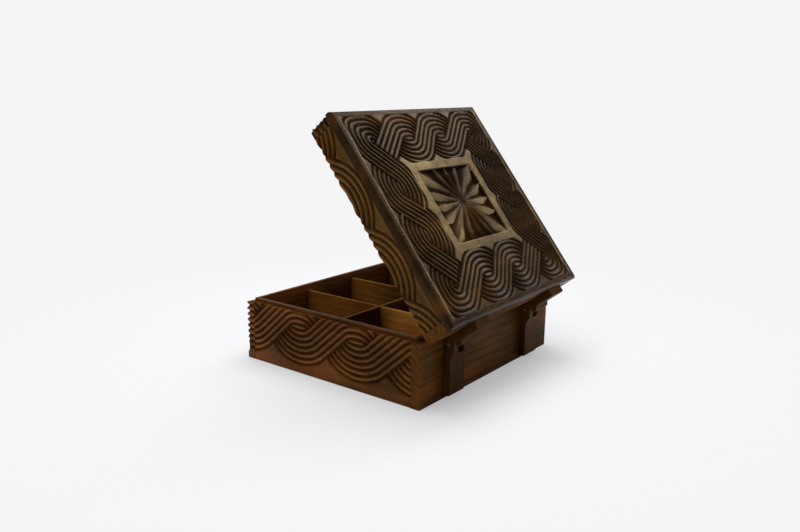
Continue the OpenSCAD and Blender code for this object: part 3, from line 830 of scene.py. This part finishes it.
carving = {"rubbed_and_sheen": RUBBED_AND_SHEEN_SIDE, "sheen": CARVED_SHEEN}
rail_wood = (RAIL_DARK, RAIL_LIGHT, RAIL_RED)
back_wood = (BACK_DARK, BACK_LIGHT, BACK_RED, BACK_CONTRAST)
inside_wood = (INSIDE_DARK, INSIDE_LIGHT)
leaf_wood = (LEAF_DARK, LEAF_LIGHT, LEAF_RED)
carved_sides = (("front", "x"), ("left", "y"), ("right", "y"))
for seed, (side, grain) in enumerate(carved_sides, 1):
    look = wood("base_%s carved walnut" % side, False, grain, seed, **carving)
    dress("base_" + side, look)
for seed, (side, grain) in enumerate(carved_sides, 4):
    look = wood("lid_%s carved walnut" % side, True, grain, seed, *rail_wood, **carving)
    dress("lid_" + side, look)
dress("lid_top", wood("lid top carved walnut", True, "x", 8, TOP_DARK, TOP_LIGHT, TOP_RED,
                      rubbed_and_sheen=RUBBED_AND_SHEEN_TOP, sheen=TOP_SHEEN))
dress("base_back", wood("back board walnut", False, "x", 9, *back_wood))
dress("lid_back", wood("lid back rail walnut", True, "x", 10, *back_wood))
dress("base_bottom", wood("bottom board", False, "x", 11, *inside_wood))
# the dividers along the depth get the painted light on their back halves
for seed, (side, grain) in enumerate((("left", "y"), ("right", "y"), ("cross", "x")), 12):
    look = wood("divider_%s golden wood" % side, False, grain, seed, *inside_wood, painted_light=grain == "y")
    dress("divider_" + side, look)
for seed, side in enumerate(("left", "right"), 15):
    dress("base_leaf_" + side, wood("base leaf wood " + side, False, "z", seed, *leaf_wood))
    dress("lid_leaf_" + side, wood("lid leaf wood " + side, True, "z", seed + 2, *leaf_wood))
    dress("hinge_pin_" + side, steel("hinge pin steel " + side))
dress("bottom_pins", steel("bottom pin steel"))
pegs = ("base_leaf_pegs", "lid_leaf_pegs", "base_corner_dowels", "lid_corner_dowels")
for seed, node in enumerate(pegs, 19):
    look = wood(node + " end grain", node.startswith("lid"), "y", seed, *leaf_wood)
    dress(node, look)

# ---------- camera ----------

IMAGE_W = 800                                # pixels across the view, in which the focal length counts
VIEW_AZIMUTH = math.radians(127.629)
VIEW_PITCH = math.radians(13.223)
VIEW_ROLL = math.radians(0.482)
VIEW_POINT = np.array([717.113, 550.586, 317.857]) * MM
FOCAL_PIXELS = 782.196
SENSOR = 36.0


def make_camera():
    """A camera at the viewing point. Its back points along azimuth and pitch, and it is rolled a little."""
    flat = math.cos(VIEW_PITCH)
    back = np.array([math.sin(VIEW_AZIMUTH) * flat, -math.cos(VIEW_AZIMUTH) * flat, math.sin(VIEW_PITCH)])
    right = np.cross(-back, [0, 0, 1])
    right /= np.linalg.norm(right)
    up = np.cross(right, -back)
    c, s = math.cos(VIEW_ROLL), math.sin(VIEW_ROLL)
    right, up = c * right + s * up, c * up - s * right
    data = bpy.data.cameras.new("camera")
    data.sensor_width = SENSOR
    data.lens = FOCAL_PIXELS * SENSOR / IMAGE_W
    data.clip_end = 50.0
    camera = bpy.data.objects.new("camera", data)
    turn = Matrix(np.stack([right, up, back], axis=1).tolist()).to_4x4()
    camera.matrix_world = Matrix.Translation(VIEW_POINT.tolist()) @ turn
    bpy.context.scene.collection.objects.link(camera)
    bpy.context.scene.camera = camera


# ---------- floor and light ----------

PALE = 0.913                                 # the pale background as a linear value
PAPER = (0.79, 0.825, 0.91, 1)
PAPER_NEAR, PAPER_FAR = 0.25, 0.62           # metres from the box over which the paper's shading fades
PAPER_SHARE = 0.60                           # how much of its shading shows near the box
FLOOR_R, FLOOR_SIDES = 6.0, 96
FLOOR_DROP = -0.0001                         # the floor lies this little under the box
SOFT, SOFT_STRENGTH = (0.95, 0.97, 1.0, 1), 0.30    # the light from all round
WARM = (1.0, 0.95, 0.87)                     # the lamps' colour
AIM = (0, 0, 0.1)                            # the point the lamps are turned to, in metres


def make_floor():
    """A wide pale floor. Near the box the camera sees paper with a shadow, further off one even colour."""
    mesh = bpy.data.meshes.new("floor")
    angle = np.linspace(0, 2 * np.pi, FLOOR_SIDES, endpoint=False)
    x, y = FLOOR_R * np.cos(angle), FLOOR_R * np.sin(angle)
    ring = np.stack([x, y, np.full(FLOOR_SIDES, FLOOR_DROP)], axis=-1)
    mesh.from_pydata(ring, [], [list(range(FLOOR_SIDES))])
    floor = bpy.data.objects.new("floor", mesh)
    bpy.context.scene.collection.objects.link(floor)
    material = bpy.data.materials.new("pale floor")
    material.use_nodes = True
    tree = material.node_tree
    tree.nodes.clear()
    paper = add(tree, "ShaderNodeBsdfDiffuse", {"Color": PAPER})
    even = add(tree, "ShaderNodeEmission", {"Color": (PALE, PALE, PALE, 1), "Strength": 1.0})
    place = add(tree, "ShaderNodeTexCoord").outputs["Object"]
    away = add(tree, "ShaderNodeVectorMath", {0: place}, operation="LENGTH").outputs["Value"]
    near = add(tree, "ShaderNodeMapRange", {0: away, 1: PAPER_NEAR, 2: PAPER_FAR, 3: PAPER_SHARE, 4: 0.0},
               interpolation_type="SMOOTHSTEP").outputs[0]
    seen = add(tree, "ShaderNodeMixShader", {0: near, 1: even.outputs[0], 2: paper.outputs[0]})
    ray = add(tree, "ShaderNodeLightPath")
    both = add(tree, "ShaderNodeMixShader", {0: ray.outputs["Is Camera Ray"], 1: paper.outputs[0],
                                             2: seen.outputs[0]})
    output = add(tree, "ShaderNodeOutputMaterial")
    tree.links.new(both.outputs[0], output.inputs["Surface"])
    mesh.materials.append(material)


def make_world():
    """An even soft light, and the pale background where the camera looks past the floor."""
    world = bpy.data.worlds.new("studio")
    bpy.context.scene.world = world
    world.use_nodes = True
    tree = world.node_tree
    tree.nodes.clear()
    ray = add(tree, "ShaderNodeLightPath")
    soft = add(tree, "ShaderNodeBackground", {"Color": SOFT, "Strength": SOFT_STRENGTH})
    pale = add(tree, "ShaderNodeBackground", {"Color": (PALE, PALE, PALE, 1), "Strength": 1.0})
    both = add(tree, "ShaderNodeMixShader", {0: ray.outputs["Is Camera Ray"], 1: soft.outputs[0],
                                             2: pale.outputs[0]})
    output = add(tree, "ShaderNodeOutputWorld")
    tree.links.new(both.outputs[0], output.inputs["Surface"])


def make_lamp(name, place, size, power):
    """A square soft lamp at a place, in metres, turned towards the middle of the box."""
    data = bpy.data.lights.new(name, "AREA")
    data.shape = "SQUARE"
    data.size = size
    data.energy = power
    data.color = WARM
    lamp = bpy.data.objects.new(name, data)
    aim = np.array(AIM) - np.array(place)
    z = -aim / np.linalg.norm(aim)
    x = np.cross([0, 0, 1], z)
    x /= np.linalg.norm(x)
    y = np.cross(z, x)
    direction = Matrix(np.stack([x, y, z], axis=1).tolist()).to_4x4()
    lamp.matrix_world = Matrix.Translation(place) @ direction
    bpy.context.scene.collection.objects.link(lamp)


make_camera()
make_floor()
make_world()
make_lamp("overhead lamp", (-0.15, -0.1, 1.7), 1.6, 31.0)
make_lamp("side lamp", (1.45, -0.35, 1.05), 0.8, 5.0)
make_lamp("high window", (-1.45, 0.10, 1.30), 0.45, 3.4)
make_lamp("low window", (-2.10, 1.45, 0.36), 0.6, 6.5)

bpy.context.scene.view_settings.view_transform = "Standard"
